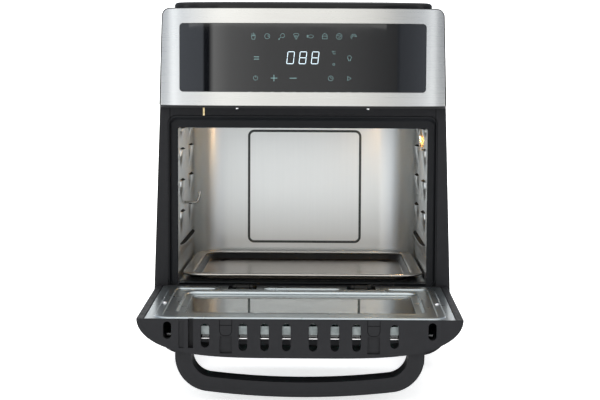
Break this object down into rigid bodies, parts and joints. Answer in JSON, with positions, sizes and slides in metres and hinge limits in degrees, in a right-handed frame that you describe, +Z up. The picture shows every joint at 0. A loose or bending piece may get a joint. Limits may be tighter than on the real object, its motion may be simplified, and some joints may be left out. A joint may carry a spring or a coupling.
{
  "type": "toaster oven",
  "caption": "Upright countertop toaster oven with a bulged touch-control fascia, a drop-down windowed door, a steel cavity with side rack ledges and a baking tray.",
  "frame": {"origin": "on the table plane, on the housing's middle plane, midway between the open door's far edge and the wall bumper behind: the bottom centre of the whole box", "axes": "+X to the right seen from in front, +Y from the front plate towards the back, +Z up; the door is hung open at rest"},
  "size_m": [0.3266, 0.5074, 0.3985],
  "materials": {
    "housing_plastic": "fine-textured dark charcoal moulding",
    "gloss_black": "polished black",
    "frame_paint": "satin dark grey paint on steel",
    "steel_brushed": "brushed, clear coated",
    "liner_steel": "satin aluminised sheet",
    "door_sheet": "galvanised, semi-bright pressing",
    "hinge_black": "black coated steel of the hinges",
    "tray_steel": "warm grey coated steel",
    "spring_steel": "bright plated",
    "zinc_steel": "zinc plated",
    "black_glass": "black back-printed glass",
    "clear_glass": "clear tempered glass",
    "tint_glass": "green-edged tempered glass",
    "lamp_glass": "warm heat-proof glass",
    "lamp_filament": "frosted bulb",
    "black_plastic": "matte black moulding",
    "rubber_black": "soft matte",
    "board_green": "epoxy board with solder mask",
    "ceramic_white": "unglazed steatite",
    "element_sheath": "oxidised sheathed element",
    "fan_aluminium": "plain pressed aluminium",
    "motor_steel": "varnished laminations",
    "bronze": "sintered bronze",
    "contact_brass": "bright spring brass"
  },
  "bodies": {
    "body": {"housing_shell": "housing_plastic", "top_cover": "gloss_black", "back_panel": "housing_plastic", "rear_spacer": "black_plastic", "base_plate": "zinc_steel", "feet": "rubber_black", "front_frame": "frame_paint", "fascia_carrier": "black_plastic", "control_fascia": "steel_brushed", "control_glass": "black_glass", "display_module": "gloss_black", "control_board": "board_green", "buzzer": "black_plastic", "touch_springs": "spring_steel", "power_board": "board_green", "heat_shield": "zinc_steel", "cavity_left": "liner_steel", "cavity_right": "liner_steel", "cavity_back": "liner_steel", "cavity_floor": "liner_steel", "cavity_ceiling": "liner_steel", "fan_well": "liner_steel", "heater_guard": "spring_steel", "heating_element": "element_sheath", "motor_stator": "motor_steel", "motor_bearings": "bronze", "motor_bracket": "zinc_steel", "lamp_lens": "lamp_glass", "lamp_bulb": "lamp_filament", "lamp_holder": "ceramic_white", "spit_hook": "spring_steel", "temperature_probe": "zinc_steel", "thermal_cutout": "ceramic_white", "terminal_block": "ceramic_white", "cord_gland": "rubber_black", "hinge_brackets": "hinge_black", "hinge_pins": "hinge_black", "catch_sleeves": "black_plastic", "catch_springs": "spring_steel", "door_switch": "black_plastic", "switch_pivot": "zinc_steel", "housing_screws": "zinc_steel"},
    "door": {"door_shell": "housing_plastic", "door_panel": "door_sheet", "door_inner_glass": "clear_glass", "door_outer_glass": "tint_glass", "door_handle": "housing_plastic", "handle_screws": "zinc_steel", "panel_screws": "spring_steel", "hinge_arms": "hinge_black"},
    "tray": {"baking_tray": "tray_steel"},
    "fan": {"convection_fan": "fan_aluminium", "fan_shaft": "zinc_steel", "cooling_fan": "fan_aluminium", "motor_rotor": "motor_steel"},
    "catch_left": {"catch_plunger_left": "spring_steel"},
    "catch_right": {"catch_plunger_right": "spring_steel"},
    "switch": {"switch_lever": "contact_brass"}
  },
  "joints": [
    {"name": "door_hinge", "type": "hinge", "parent": "body", "child": "door", "pos_m": [0, -0.0595, 0.089], "axis": [-1, 0, 0], "range_deg": [0, 92.1]},
    {"name": "tray_slide", "type": "slide", "parent": "body", "child": "tray", "axis": [0, 1, 0], "range_m": [-0.15, 0]},
    {"name": "fan_spin", "type": "hinge", "parent": "body", "child": "fan", "pos_m": [0, 0.078, 0.3], "axis": [0, 0, 1], "continuous": true},
    {"name": "catch_left_slide", "type": "slide", "parent": "body", "child": "catch_left", "axis": [0, 0, 1], "range_m": [0, 0.0035], "stiffness_N_per_m": 600, "springref_m": -0.001},
    {"name": "catch_right_slide", "type": "slide", "parent": "body", "child": "catch_right", "axis": [0, 0, 1], "range_m": [0, 0.0035], "stiffness_N_per_m": 600, "springref_m": -0.001},
    {"name": "switch_lever_tilt", "type": "hinge", "parent": "body", "child": "switch", "pos_m": [-0.1062, -0.076, 0.295], "axis": [1, 0, 0], "range_deg": [0, 10], "stiffness_Nm_per_rad": 0.02, "springref_deg": -5.73}
  ]
}
